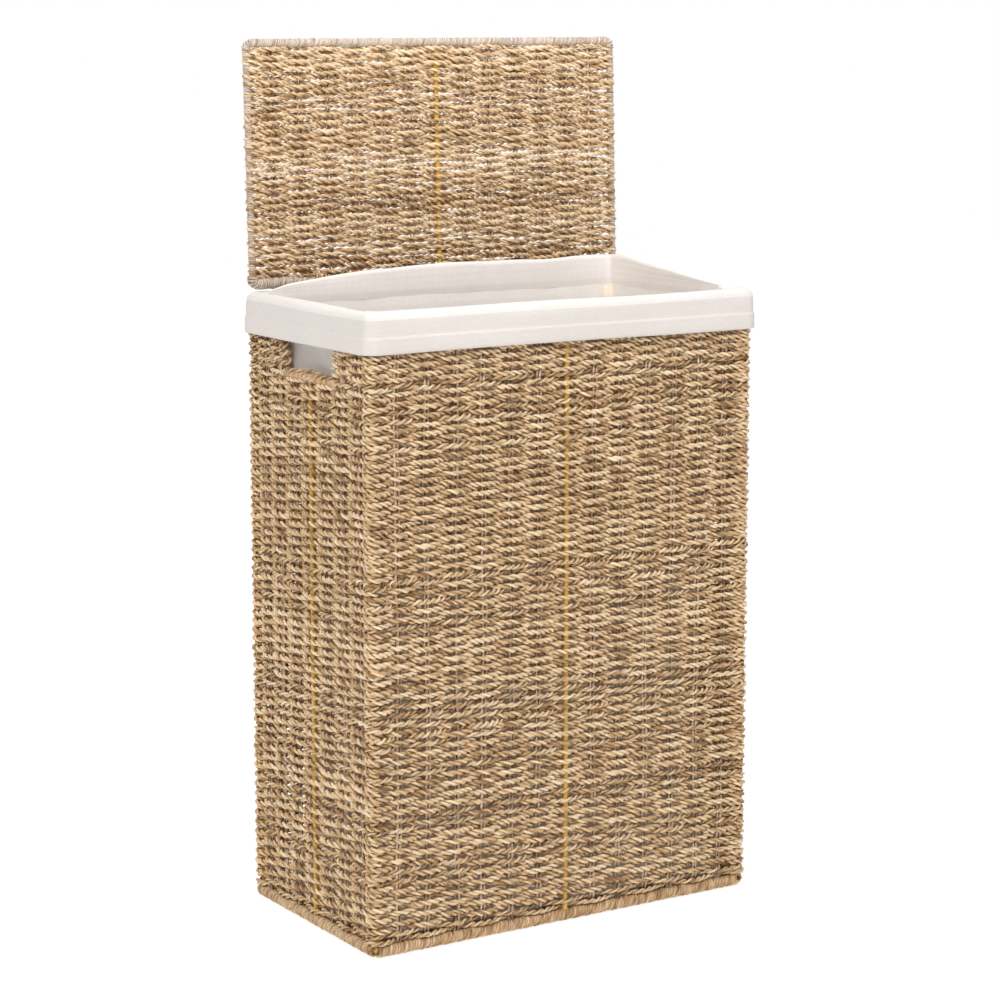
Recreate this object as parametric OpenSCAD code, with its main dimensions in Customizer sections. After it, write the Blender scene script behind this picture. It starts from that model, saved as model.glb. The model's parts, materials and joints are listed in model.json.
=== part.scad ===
// Woven laundry basket: a welded wire frame, plain-woven seagrass rope walls over pairs of
// cord stakes, bound edges, two hand holes, a hinged lid and a cotton liner with a folded cuff.
// Front faces -Y, up is +Z, the origin is the middle of the underside. The lid stands open.

/* [Body] */
// Width of the body over the weave, left to right
body_w = 430; // [330:1:560]
// Depth of the body over the weave, front to back
body_d = 240; // [190:1:340]
// Height from the floor to the top of the liner's fold over the rim
body_h = 600; // [440:1:760]
// Radius of the four upright corners, over the weave
corner_r = 14.5; // [13:0.5:24]

/* [Weave] */
// Thickness of the woven walls and base
weave_t = 11; // [10:0.5:14]
// Thickness of the woven lid
lid_weave_t = 9; // [7:0.5:11]
// Diameter of one stake cord
stake_d = 3.2; // [2:0.1:4]
// Gap between the two cords of a stake pair
stake_gap = 0.4; // [0.2:0.1:1]
// Stake pairs on each side of the middle wire, front and back
front_pairs = 6; // [3:1:9]
// Stake pairs on each side of the middle wire, left and right
side_pairs = 3; // [2:1:5]

/* [Wire frame] */
// Diameter of the frame wire
wire_d = 5; // [3:0.1:6]
// Room round the end of a wire where it goes into a binding
pocket_gap = 0.2; // [0.1:0.05:0.4]

/* [Bound edges] */
// Diameter of the binding round the foot
foot_bind_d = 12; // [10:0.5:14]
// Diameter of the binding round the edge of the lid
lid_bind_d = 12; // [10:0.5:12.5]

/* [Hand holes] */
// Clear width of a hand hole
hole_w = 86; // [70:1:110]
// Clear height of a hand hole, from its bound sill to the rim binding
hole_h = 53; // [40:1:90]
// Length of the bound sill under a hand hole
sill_l = 104; // [90:1:130]

/* [Lid and hinge] */
// Angle that the open lid leans back past upright
lid_lean = 2; // [0:0.5:15]
// Gap between the closed lid's binding and the liner's fold
lid_gap = 0.8; // [0.4:0.1:4]
// Stakes between the middle wire and each hinge tie
tie_stakes = 4; // [1:1:5]
// Turns of rope in each hinge tie
tie_turns = 3; // [1:1:4]
// Diameter of the hinge ties' rope
tie_d = 4; // [2:0.1:5]
// Gap between two turns of a hinge tie
tie_turn_gap = 0.2; // [0.1:0.1:1]
// Running clearance between a hinge tie and the lid's binding
tie_clear = 0.4; // [0.3:0.05:1]
// Room left round a hinge tie in the weave and the liner
tie_room = 0.8; // [0.4:0.1:3]

/* [Liner] */
// Thickness of the liner cloth where it hangs
liner_t = 1.2; // [0.6:0.1:2]
// Space between the liner and the woven walls
liner_slack = 2.5; // [1:0.1:3]
// Depth of the cuff folded down outside the rim
cuff_drop = 42; // [30:1:90]
// Space between the cuff and the rim binding
cuff_clear = 0.5; // [0.3:0.1:4]
// Height of the cuff's hem
hem_h = 16; // [8:1:25]
// Extra thickness of the turned hem
hem_t = 0.8; // [0.4:0.1:2]
// Width of each half of a corner seam tape
tape_w = 9; // [5:0.5:14]
// Thickness of a corner seam tape
tape_t = 0.8; // [0.4:0.1:1.5]
// Distance from the rim down to the top of the seam tapes
tape_top = 24; // [20:1:60]

/* [Hidden] */
$fn = 48;
wire_r = wire_d / 2;
pocket_r = wire_r + pocket_gap;
mid = weave_t / 2; // depth of the frame wires inside the walls
foot_r = max(foot_bind_d / 2, mid + 0.5); // the woven walls stand inside its width
lid_r = lid_bind_d / 2;
tie_r = tie_d / 2;
rim_r = lid_r + tie_clear; // one straight-sided loop then fits both tubes
sill_r = weave_t / 2;
half_w = body_w / 2 - mid; // centreline of the frame, from the middle
half_d = body_d / 2 - mid;
bend = corner_r - mid; // centreline bend radius at the corners
foot_z = foot_r;
wall_z0 = 2 * foot_r; // the walls stand on the foot binding
rim_z = body_h - liner_t - rim_r;
wall_z1 = rim_z - rim_r; // and end under the rim binding
hole_z = wall_z1 - hole_h; // top of the bound sill
sill_z = hole_z - sill_r;
front_pitch = body_w / (2 * (front_pairs + 1));
side_pitch = body_d / (2 * (side_pairs + 1));
pair_w = 2 * stake_d + stake_gap;
stake_off = (stake_d + stake_gap) / 2;
diag = bend - bend * cos(45); // how far a corner post sits in from both centrelines
post_x = half_w - diag;
post_y = half_d - diag;
hinge_z = body_h + lid_gap + lid_r;
tie_bend = rim_r + tie_r;
tie_step = tie_d + tie_turn_gap;
tie_x = (tie_stakes + 0.5) * front_pitch;
tie_room_w = tie_turns * tie_step + 2 * tie_room;
bag_out = -weave_t - liner_slack; // offsets from the outer face of the weave
bag_in = bag_out - liner_t;
cuff_in = rim_r - mid + cuff_clear;
cuff_out = cuff_in + liner_t;
cuff_z = body_h - cuff_drop;
bag_z = foot_z + weave_t / 2;

WIRE = "#c9a03f";
CORD = "#b79a73";
ROPE = "#a4886a";
BIND = "#bfa892";
CLOTH = "#e8e0d8";

// ---- shared shapes

// A rectangle with round corners, grown by off from the outer face of the weave
module footprint(off) {
    w = body_w + 2 * off;
    d = body_d + 2 * off;
    r = max(corner_r + off, 0.5);
    square([w - 2 * r, d], center = true);
    square([w, d - 2 * r], center = true);
    for (sx = [-1, 1], sy = [-1, 1])
        translate([sx * (w / 2 - r), sy * (d / 2 - r)])
            circle(r);
}

// A closed band that follows the footprint between two offsets, from z0 up to z1
module band(outer, inner, z0, z1) {
    translate([0, 0, z0])
        linear_extrude(z1 - z0)
            difference() {
                footprint(outer);
                footprint(inner);
            }
}

// A round bar bent into a rectangle on the frame's centreline
module bent_ring(r) {
    for (s = [-1, 1]) {
        translate([-(half_w - bend), s * half_d, 0])
            rotate([0, 90, 0])
                cylinder(r = r, h = 2 * (half_w - bend));
        translate([s * half_w, half_d - bend, 0])
            rotate([90, 0, 0])
                cylinder(r = r, h = 2 * (half_d - bend));
    }
    for (q = [0:3])
        translate([(q == 0 || q == 3 ? 1 : -1) * (half_w - bend), (q < 2 ? 1 : -1) * (half_d - bend), 0])
            rotate([0, 0, 90 * q])
                rotate_extrude(angle = 90)
                    translate([bend, 0])
                        circle(r);
}

module upright(x, y, z0, z1, r = wire_r) {
    translate([x, y, z0])
        cylinder(r = r, h = z1 - z0);
}

// A bar along Y, centred on y = 0
module bar_y(x, z, r, len) {
    translate([x, len / 2, z])
        rotate([90, 0, 0])
            cylinder(r = r, h = len);
}

// ---- wire frame

module corner_post(sx, sy) {
    color(WIRE)
        upright(sx * post_x, sy * post_y, foot_z + wire_r, rim_z - wire_r);
}

// Middle wire of the front or back
module face_strut(sy) {
    color(WIRE)
        upright(0, sy * half_d, foot_z + wire_r, rim_z - wire_r);
}

// Middle wire of a side, which ends under the sill of the hand hole
module side_strut(sx) {
    color(WIRE)
        upright(sx * half_w, 0, foot_z + wire_r, sill_z - wire_r);
}

module sill_wire(sx) {
    color(WIRE)
        bar_y(sx * half_w, sill_z, wire_r, sill_l);
}

module base_ring_wire() {
    color(WIRE)
        translate([0, 0, foot_z])
            bent_ring(wire_r);
}

module rim_ring_wire() {
    color(WIRE)
        translate([0, 0, rim_z])
            bent_ring(wire_r);
}

// Runs under the base from the foot of the front strut to the foot of the back strut
module base_cross_wire() {
    color(WIRE)
        bar_y(0, foot_z, wire_r, 2 * (half_d - wire_r));
}

// ---- stakes, in pairs

module stake_pair(x, y, along_x, z1) {
    for (s = [-stake_off, stake_off])
        upright(x + (along_x ? s : 0), y + (along_x ? 0 : s), wall_z0, z1, stake_d / 2);
}

module face_stakes(sy) {
    color(CORD)
        for (s = [-1, 1], i = [1:front_pairs])
            stake_pair(s * i * front_pitch, sy * half_d, true, wall_z1);
}

// A pair that meets the hand hole or its sill ends under the sill
module side_stakes(sx) {
    color(CORD)
        for (s = [-1, 1], i = [1:side_pairs])
            stake_pair(sx * half_w, s * i * side_pitch, false,
                i * side_pitch < sill_l / 2 + pair_w / 2 ? hole_z - weave_t : wall_z1);
}

module base_stakes() {
    color(CORD)
        for (s = [-1, 1], i = [1:front_pairs], c = [-stake_off, stake_off])
            bar_y(s * i * front_pitch + c, foot_z, stake_d / 2, 2 * (half_d - foot_r));
}

// ---- woven panels

module face_weave(sy) {
    color(ROPE)
        difference() {
            intersection() {
                band(0, -weave_t, wall_z0, wall_z1);
                translate([-body_w, sy > 0 ? body_d / 2 - weave_t : -body_d, 0])
                    cube([2 * body_w, body_d / 2 + weave_t, body_h]);
            }
            face_stakes(sy);
            face_strut(sy);
            for (sx = [-1, 1])
                corner_post(sx, sy);
            if (sy > 0)
                tie_cut(wall_z1 - tie_d - tie_room);
        }
}

// The flat part of a side wall, from z0 up to z1
module side_panel(sx, z0, z1) {
    intersection() {
        band(0, -weave_t, z0, z1);
        translate([sx > 0 ? body_w / 2 - weave_t : -body_w, -body_d / 2 + weave_t, 0])
            cube([body_w / 2 + weave_t, body_d - 2 * weave_t, body_h]);
    }
}

// A side wall up to the hand hole, with a recess for the bound sill
module side_weave(sx) {
    color(ROPE)
        difference() {
            side_panel(sx, wall_z0, hole_z);
            side_stakes(sx);
            side_strut(sx);
            translate([sx * half_w - weave_t, -sill_l / 2, hole_z - weave_t])
                cube([2 * weave_t, sill_l, 2 * weave_t]);
        }
}

// The short courses in front of a hand hole and behind it
module side_upper_weave(sx) {
    color(ROPE)
        difference() {
            side_panel(sx, hole_z, wall_z1);
            side_stakes(sx);
            translate([sx * half_w - weave_t, -hole_w / 2, 0])
                cube([2 * weave_t, hole_w, body_h]);
        }
}

module base_weave() {
    color(ROPE)
        difference() {
            linear_extrude(bag_z)
                footprint(-mid - foot_r);
            base_stakes();
            base_cross_wire();
        }
}

// ---- bound edges

module foot_binding() {
    color(BIND)
        difference() {
            translate([0, 0, foot_z])
                bent_ring(foot_r);
            base_ring_wire();
            long_upright_pockets(foot_z - pocket_r, 2 * foot_r);
            for (s = [-1, 1]) {
                pocket(s * half_w, 0, foot_z - pocket_r, 2 * foot_r);
                translate([-pocket_r, s * half_d - (s > 0 ? foot_r : pocket_r), foot_z - pocket_r])
                    cube([2 * pocket_r, foot_r + pocket_r, 2 * pocket_r]);
            }
        }
}

module rim_binding() {
    color(BIND)
        difference() {
            translate([0, 0, rim_z])
                bent_ring(rim_r);
            rim_ring_wire();
            long_upright_pockets(rim_z - rim_r, rim_z + pocket_r);
        }
}

// Square room for one upright wire where its end goes into a binding
module pocket(x, y, z0, z1) {
    translate([x - pocket_r, y - pocket_r, z0])
        cube([2 * pocket_r, 2 * pocket_r, z1 - z0]);
}

// Pockets for the posts and for the front and back struts
module long_upright_pockets(z0, z1) {
    for (sy = [-1, 1]) {
        pocket(0, sy * half_d, z0, z1);
        for (sx = [-1, 1])
            pocket(sx * post_x, sy * post_y, z0, z1);
    }
}

module sill_binding(sx) {
    color(BIND)
        difference() {
            bar_y(sx * half_w, sill_z, sill_r, sill_l);
            sill_wire(sx);
            pocket(sx * half_w, 0, sill_z - sill_r, sill_z + pocket_r);
        }
}

// ---- hinge ties: loops of rope round the rim binding and the lid's back edge

module tie_loop() {
    for (s = [-1, 1])
        translate([0, s * tie_bend, rim_z])
            cylinder(r = tie_r, h = hinge_z - rim_z);
    translate([0, 0, hinge_z])
        rotate([90, 0, 90])
            rotate_extrude(angle = 180)
                translate([tie_bend, 0])
                    circle(tie_r);
    translate([0, 0, rim_z])
        rotate([-90, 0, 90])
            rotate_extrude(angle = 180)
                translate([tie_bend, 0])
                    circle(tie_r);
}

module hinge_tie(sx) {
    color(ROPE)
        for (i = [0:tie_turns - 1])
            translate([sx * tie_x + (i - (tie_turns - 1) / 2) * tie_step, half_d, 0])
                tie_loop();
}

// Space for the hinge ties through the back of the rim, from z0 up
module tie_cut(z0) {
    for (s = [-1, 1])
        translate([s * tie_x - tie_room_w / 2, body_d / 2 - 3 * weave_t, z0])
            cube([tie_room_w, 5 * weave_t, body_h]);
}

// ---- liner

module liner() {
    color(CLOTH)
        difference() {
            union() {
                band(cuff_out, cuff_in, cuff_z, body_h);
                band(cuff_out, bag_in, body_h - liner_t, body_h);
                band(bag_out, bag_in, bag_z, body_h);
                translate([0, 0, bag_z])
                    linear_extrude(liner_t)
                        footprint(bag_out);
            }
            tie_cut(rim_z - tie_bend - tie_r - tie_room);
        }
}

module cuff_hem() {
    color(CLOTH)
        band(cuff_out + hem_t, cuff_out, cuff_z, cuff_z + hem_h);
}

// An angle of tape over the seam in each upright corner of the bag
module liner_seam_tapes() {
    z0 = bag_z + liner_t;
    color(CLOTH)
        for (sx = [-1, 1], sy = [-1, 1])
            intersection() {
                band(bag_in, bag_in - tape_t, z0, body_h - tape_top);
                translate([sx * (body_w / 2 + bag_in), sy * (body_d / 2 + bag_in), body_h / 2])
                    cube([2 * tape_w, 2 * tape_w, body_h], center = true);
            }
}

// ---- lid, modelled flat about its own middle and then opened about the hinge

module open_lid() {
    translate([0, half_d, hinge_z])
        rotate([-(90 + lid_lean), 0, 0])
            translate([0, -half_d, 0])
                children();
}

module lid_stake_pairs() {
    for (s = [-1, 1], i = [1:front_pairs], c = [-stake_off, stake_off])
        bar_y(s * i * front_pitch + c, 0, stake_d / 2, 2 * (half_d - lid_r - tie_r));
}

module lid_ring_wire() {
    color(WIRE)
        open_lid()
            bent_ring(wire_r);
}

module lid_strut() {
    color(WIRE)
        open_lid()
            bar_y(0, 0, wire_r, 2 * (half_d - wire_r));
}

module lid_stakes() {
    color(CORD)
        open_lid()
            lid_stake_pairs();
}

// Notched at the back so that it swings past the hinge ties
module lid_weave() {
    notch = tie_bend + tie_r + tie_room;
    color(ROPE)
        open_lid()
            difference() {
                translate([0, 0, -lid_weave_t / 2])
                    linear_extrude(lid_weave_t)
                        footprint(-mid - lid_r);
                bar_y(0, 0, wire_r, 2 * half_d);
                lid_stake_pairs();
                for (s = [-1, 1])
                    translate([s * tie_x - tie_room_w / 2, half_d - notch, -weave_t])
                        cube([tie_room_w, notch, 2 * weave_t]);
            }
}

module lid_binding() {
    color(BIND)
        open_lid()
            difference() {
                bent_ring(lid_r);
                bent_ring(wire_r);
                for (s = [-1, 1])
                    translate([-pocket_r, s * half_d - (s > 0 ? lid_r : pocket_r), -pocket_r])
                        cube([2 * pocket_r, lid_r + pocket_r, 2 * pocket_r]);
            }
}

module front_left_post() { corner_post(-1, -1); }
module front_right_post() { corner_post(1, -1); }
module back_left_post() { corner_post(-1, 1); }
module back_right_post() { corner_post(1, 1); }
module front_strut() { face_strut(-1); }
module back_strut() { face_strut(1); }
module left_strut() { side_strut(-1); }
module right_strut() { side_strut(1); }
module left_sill_wire() { sill_wire(-1); }
module right_sill_wire() { sill_wire(1); }
module front_stakes() { face_stakes(-1); }
module back_stakes() { face_stakes(1); }
module left_stakes() { side_stakes(-1); }
module right_stakes() { side_stakes(1); }
module front_weave() { face_weave(-1); }
module back_weave() { face_weave(1); }
module left_weave() { side_weave(-1); }
module right_weave() { side_weave(1); }
module left_upper_weave() { side_upper_weave(-1); }
module right_upper_weave() { side_upper_weave(1); }
module left_sill_binding() { sill_binding(-1); }
module right_sill_binding() { sill_binding(1); }
module left_hinge_tie() { hinge_tie(-1); }
module right_hinge_tie() { hinge_tie(1); }

base_ring_wire();
rim_ring_wire();
base_cross_wire();
front_left_post();
front_right_post();
back_left_post();
back_right_post();
front_strut();
back_strut();
left_strut();
right_strut();
left_sill_wire();
right_sill_wire();
front_stakes();
back_stakes();
left_stakes();
right_stakes();
base_stakes();
front_weave();
back_weave();
left_weave();
right_weave();
base_weave();
left_upper_weave();
right_upper_weave();
foot_binding();
rim_binding();
left_sill_binding();
right_sill_binding();
left_hinge_tie();
right_hinge_tie();
liner();
cuff_hem();
liner_seam_tapes();
lid_ring_wire();
lid_strut();
lid_stakes();
lid_weave();
lid_binding();
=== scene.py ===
# %% [markdown]
# # A woven laundry basket
# A tall box of seagrass rope, woven over pairs of cord stakes on a welded wire frame, with a
# hinged lid that stands open and a cotton liner folded out over the rim. The frame's wires come
# from the CAD model and only get a finish. Rope, bindings and cloth are modelled here, around them.

# %% load the fixed frame
import json
import math

import bpy
import numpy as np
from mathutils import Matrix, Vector


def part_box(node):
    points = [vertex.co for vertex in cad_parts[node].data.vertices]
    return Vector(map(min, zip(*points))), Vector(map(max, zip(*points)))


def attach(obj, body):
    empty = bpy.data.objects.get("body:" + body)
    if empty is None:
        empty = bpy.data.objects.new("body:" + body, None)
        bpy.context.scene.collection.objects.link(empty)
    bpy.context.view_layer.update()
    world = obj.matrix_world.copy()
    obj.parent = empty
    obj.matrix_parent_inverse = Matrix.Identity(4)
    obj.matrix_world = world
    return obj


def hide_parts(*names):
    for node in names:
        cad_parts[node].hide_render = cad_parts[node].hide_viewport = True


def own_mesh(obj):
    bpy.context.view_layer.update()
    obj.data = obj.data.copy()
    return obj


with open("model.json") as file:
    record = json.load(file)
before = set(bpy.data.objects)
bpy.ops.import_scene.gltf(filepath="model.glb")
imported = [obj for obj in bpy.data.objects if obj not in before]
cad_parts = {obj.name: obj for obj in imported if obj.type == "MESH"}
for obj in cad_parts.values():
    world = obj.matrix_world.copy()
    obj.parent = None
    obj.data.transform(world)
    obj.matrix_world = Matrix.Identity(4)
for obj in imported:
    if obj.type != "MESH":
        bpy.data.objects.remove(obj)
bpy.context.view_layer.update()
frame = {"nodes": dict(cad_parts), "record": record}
bpy.ops.object.select_all(action="DESELECT")
print("CAD nodes:", len(frame["nodes"]))

# %% [markdown]
# Every place below is worked out from the CAD nodes' boxes, so the rope meets the wires without
# any fitting. The walls' thickness and the centreline of the frame come first.

# %% sizes from the frame
MM = 0.001


def low(node):
    return np.array(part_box(node)[0])


def high(node):
    return np.array(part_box(node)[1])


wall_t = high("left_weave")[0] - low("left_weave")[0]
half_out = np.array([-low("left_weave")[0], -low("front_weave")[1]])  # outer faces of the weave
half_mid = half_out - wall_t / 2  # centreline of the frame
post_mid = (low("front_left_post") + high("front_left_post")) / 2
wall_low, wall_high = low("front_weave")[2], high("front_weave")[2]
foot_r = high("foot_binding")[2] / 2
rim_r = (high("rim_binding")[2] - low("rim_binding")[2]) / 2
rim_z = high("rim_binding")[2] - rim_r
sill_z = (low("left_sill_binding")[2] + high("left_sill_binding")[2]) / 2
sill_half = high("left_sill_binding")[1]
hole_z = high("left_sill_binding")[2]
hole_box = [o for o in frame["record"]["physics"]["openings"] if o["name"] == "left_hand_hole"][0]["box_m"]
hole_width = hole_box[1][1] - hole_box[0][1] + 1 * MM
hinge = frame["record"]["behaviour"]["joints"][0]
hinge_at = np.array(hinge["pos_m"])
lean = math.radians(hinge["range_deg"][1] - 90)
FRONT_PAIRS = 6
SIDE_PAIRS = 3
front_pitch = 2 * half_out[0] / (2 * (FRONT_PAIRS + 1))
side_pitch = 2 * half_out[1] / (2 * (SIDE_PAIRS + 1))
STAKE_R = 1.6 * MM
STAKE_APART = 3.6 * MM
print("walls", np.round(half_out * 2, 4), "lean of the lid", round(math.degrees(lean), 2))

# %% [markdown]
# The camera looks at the near corner from a little above, with a long lens.

# %% camera
LENS_MM = 100.8
camera = bpy.data.cameras.new("camera")
camera.lens = LENS_MM
camera.shift_y = -0.05
camera_object = bpy.data.objects.new("camera", camera)
camera_object.location = (-1.445, -2.275, 0.863)
camera_object.rotation_euler = (math.radians(90 - 8.85), 0, math.radians(-32.4))
bpy.context.scene.collection.objects.link(camera_object)
bpy.context.scene.camera = camera_object
print("camera", LENS_MM, "mm at", tuple(round(c, 3) for c in camera_object.location))

# %% [markdown]
# ## Materials
# One function turns a paint-chart colour into the linear colour that a shader wants, and one adds
# a node with its settings and links.

# %% material helpers


def linear(hex_colour):
    parts = [int(hex_colour[i : i + 2], 16) / 255 for i in (1, 3, 5)]
    return [c / 12.92 if c <= 0.04045 else ((c + 0.055) / 1.055) ** 2.4 for c in parts] + [1.0]


def add_node(tree, kind, inputs=None, **settings):
    new = tree.nodes.new(kind)
    for name, value in settings.items():
        setattr(new, name, value)
    for name, value in (inputs or {}).items():
        if isinstance(value, bpy.types.NodeSocket):
            tree.links.new(value, new.inputs[name])
        else:
            new.inputs[name].default_value = value
    return new


def new_material(name, roughness, specular=0.5, sheen=0.0):
    material = bpy.data.materials.new(name)
    material.use_nodes = True
    tree = material.node_tree
    shader = tree.nodes["Principled BSDF"]
    shader.inputs["Roughness"].default_value = roughness
    shader.inputs["Specular IOR Level"].default_value = specular
    shader.inputs["Sheen Weight"].default_value = sheen
    return material, tree, shader


def colour_ramp(tree, factor, stops):
    ramp = add_node(tree, "ShaderNodeValToRGB", {"Fac": factor})
    elements = ramp.color_ramp.elements
    while len(elements) < len(stops):
        elements.new(0.5)
    for element, (place, hex_colour) in zip(elements, stops):
        element.position = place
        element.color = linear(hex_colour)
    return ramp.outputs["Color"]


# %% [markdown]
# Seagrass is a dried sedge, twisted green and sun-dried. Each strand is a bundle of ribbon-like
# blades about 0.6 mm across that run along it, so the pattern is a noise stretched along the
# rope. It reads the rope's own coordinates, which turn with the twist. Whole lengths of rope dry
# paler or browner, which is the second, slower noise and the tone kept on the mesh.
# That tone also holds painted shade, darkening the groove between the two strands.

# %% seagrass
BLADE_MM = 0.5
BLADE_RUN_MM = 7.0


def seagrass(name, dark, middle, light, pale, roughness):
    material, tree, shader = new_material(name, roughness, specular=0.2)
    fibre = add_node(tree, "ShaderNodeAttribute", attribute_name="fibre").outputs["Vector"]
    # the tone is each rope's and strand's random tone, with painted shade in the grooves
    tone = add_node(tree, "ShaderNodeAttribute", attribute_name="tone").outputs["Fac"]
    across, along = 1000 / BLADE_MM, 1000 / BLADE_RUN_MM
    blades_at = add_node(tree, "ShaderNodeMapping", {"Vector": fibre, "Scale": (across, across, along)})
    blades = add_node(
        tree, "ShaderNodeTexNoise", {"Vector": blades_at.outputs["Vector"], "Scale": 1.0, "Detail": 2.0}
    )
    strands_at = add_node(
        tree, "ShaderNodeMapping", {"Vector": fibre, "Scale": (across / 4, across / 4, along / 3)}
    )
    strands = add_node(
        tree, "ShaderNodeTexNoise", {"Vector": strands_at.outputs["Vector"], "Scale": 1.0, "Detail": 1.0}
    )
    both = add_node(
        tree,
        "ShaderNodeMath",
        {0: blades.outputs["Fac"], 1: strands.outputs["Fac"]},
        operation="ADD",
    )
    toned = add_node(tree, "ShaderNodeMath", {0: both.outputs[0], 1: tone}, operation="ADD")
    spread = add_node(
        tree,
        "ShaderNodeMapRange",
        {"Value": toned.outputs[0], "From Min": 0.6, "From Max": 1.36},
    )
    colour = colour_ramp(
        tree, spread.outputs["Result"], [(0.0, dark), (0.38, middle), (0.66, light), (1.0, pale)]
    )
    tree.links.new(colour, shader.inputs["Base Color"])
    bump = add_node(
        tree,
        "ShaderNodeBump",
        {"Height": blades.outputs["Fac"], "Strength": 0.6, "Distance": 0.0006},
    )
    tree.links.new(bump.outputs["Normal"], shader.inputs["Normal"])
    return material


rope_finish = seagrass("twisted_seagrass_rope", "#8d6a49", "#d3b085", "#ecd0a8", "#f8e5c6", 0.82)
binding_finish = seagrass("thin_seagrass_binding", "#8e7661", "#bba48f", "#cfbdac", "#ddd2c8", 0.82)
foot_finish = seagrass("coarse_seagrass_binding", "#785838", "#b2906b", "#ceaf88", "#e1c8a4", 0.85)
stake_finish = seagrass("spun_stake_cord", "#8a6e52", "#c9a688", "#e4c8a9", "#f6e4ca", 0.85)
print("seagrass finishes:", [m.name for m in (rope_finish, binding_finish, foot_finish, stake_finish)])

# %% [markdown]
# The frame is drawn steel wire, welded and dipped in a golden-yellow lacquer. It is thin and
# slightly uneven, so the coat gives a soft highlight.

# %% lacquered wire
wire_finish, tree, shader = new_material("golden_lacquered_wire", 0.38)
object_at = add_node(tree, "ShaderNodeTexCoord").outputs["Object"]
coat_noise = add_node(tree, "ShaderNodeTexNoise", {"Vector": object_at, "Scale": 90.0, "Detail": 2.0})
coat = colour_ramp(tree, coat_noise.outputs["Fac"], [(0.3, "#c4982f"), (0.7, "#dfb54b")])
tree.links.new(coat, shader.inputs["Base Color"])
coat_bump = add_node(
    tree, "ShaderNodeBump", {"Height": coat_noise.outputs["Fac"], "Strength": 0.2, "Distance": 0.0003}
)
tree.links.new(coat_bump.outputs["Normal"], shader.inputs["Normal"])
print("wire finish:", wire_finish.name)

# %% [markdown]
# The liner is unbleached cotton in a plain weave. Its threads are about 0.5 mm apart, too fine to
# show from here, so they are drawn at 1.2 mm. They read the cloth's own UV map, in metres.

# %% cotton cloth
THREAD_MM = 1.2


def cotton(name, shade, light, roughness):
    material, tree, shader = new_material(name, roughness, specular=0.15, sheen=0.15)
    uv = add_node(tree, "ShaderNodeUVMap", uv_map="UVMap").outputs["UV"]
    threads = []
    for direction in ("X", "Y"):
        wave = add_node(
            tree,
            "ShaderNodeTexWave",
            {
                "Vector": uv,
                "Scale": 1000 / THREAD_MM / 20,
                "Distortion": 1.5,
                "Detail": 1.0,
                "Detail Scale": 6.0,
            },
            wave_type="BANDS",
            bands_direction=direction,
        )
        threads.append(wave.outputs["Fac"])
    weave = add_node(tree, "ShaderNodeMath", {0: threads[0], 1: threads[1]}, operation="ADD")
    slubs_at = add_node(tree, "ShaderNodeMapping", {"Vector": uv, "Scale": (90, 700, 1)})
    slubs = add_node(
        tree, "ShaderNodeTexNoise", {"Vector": slubs_at.outputs["Vector"], "Scale": 1.0, "Detail": 3.0}
    )
    cloud = add_node(tree, "ShaderNodeTexNoise", {"Vector": uv, "Scale": 14.0, "Detail": 2.0})
    mixed = add_node(
        tree, "ShaderNodeMath", {0: slubs.outputs["Fac"], 1: cloud.outputs["Fac"]}, operation="ADD"
    )
    spread = add_node(
        tree, "ShaderNodeMapRange", {"Value": mixed.outputs[0], "From Min": 0.7, "From Max": 1.3}
    )
    colour = colour_ramp(tree, spread.outputs["Result"], [(0.0, shade), (1.0, light)])
    tree.links.new(colour, shader.inputs["Base Color"])
    bump = add_node(
        tree, "ShaderNodeBump", {"Height": weave.outputs[0], "Strength": 0.25, "Distance": 0.0003}
    )
    tree.links.new(bump.outputs["Normal"], shader.inputs["Normal"])
    return material


cloth_finish = cotton("unbleached_cotton", "#e4ddd7", "#ece7e2", 0.9)
# painted shade: the cuff's cotton is a darker copy of the liner's, because the cuff stands in brighter light
cuff_painted_shade_finish = cotton("cuff_cotton_painted_shade", "#d9d1cb", "#e2dbd5", 0.9)
# painted light: the pleat's cotton is a paler copy of the liner's, because it stands in the shade inside the
# basket
pleat_painted_light_finish = cotton("pleat_cotton_painted_light", "#f4eee8", "#faf6f2", 0.88)
tape_finish = cotton("cotton_seam_tape", "#e6d8c2", "#f0e4d1", 0.85)
print("cotton finishes:", [m.name for m in (cloth_finish, cuff_painted_shade_finish, pleat_painted_light_finish, tape_finish)])

# %% [markdown]
# ## Rope
# A rope of two strands has a figure-of-eight outline that turns as it runs. A curve with a
# bevel would give a smooth tube, and two twisted curves cost twice the faces, so each rope is
# one tube whose eight-point outline has two lobes and is turned along its path. One helper makes
# the tube; the paths are what the weaving is about.

# %% outlines and the tube
LOBE_APART = 0.75
lobe = [(LOBE_APART + math.cos(a), math.sin(a)) for a in (-1.08, 0.0, 1.08)]
TWO_STRANDS = np.array(lobe + [(0.0, 0.5)] + [(-x, -y) for x, y in lobe] + [(0.0, -0.5)])
ONE_STRAND = np.array([(math.cos(k * math.tau / 6), math.sin(k * math.tau / 6)) for k in range(6)])
LEFT_HAND = 0.8  # share of ropes twisted the other way
PATCH = 0.014  # a strand keeps one colour for about this length
GROOVE_PAINTED_SHADE = 0.3  # painted shade: the groove between the strands is darkened as if it lay in shadow
rng = np.random.default_rng(7)


def resample(points, step, closed):
    """Points spaced evenly along a path, and the distance along it of each."""
    if closed:
        points = np.vstack([points, points[:1]])
    lengths = np.concatenate([[0], np.cumsum(np.linalg.norm(np.diff(points, axis=0), axis=1))])
    count = max(3, round(lengths[-1] / step))
    along = np.linspace(0, lengths[-1], count + 1)
    if closed:
        along = along[:-1]
    return np.stack([np.interp(along, lengths, points[:, k]) for k in range(3)], 1), along, lengths[-1]


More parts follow.
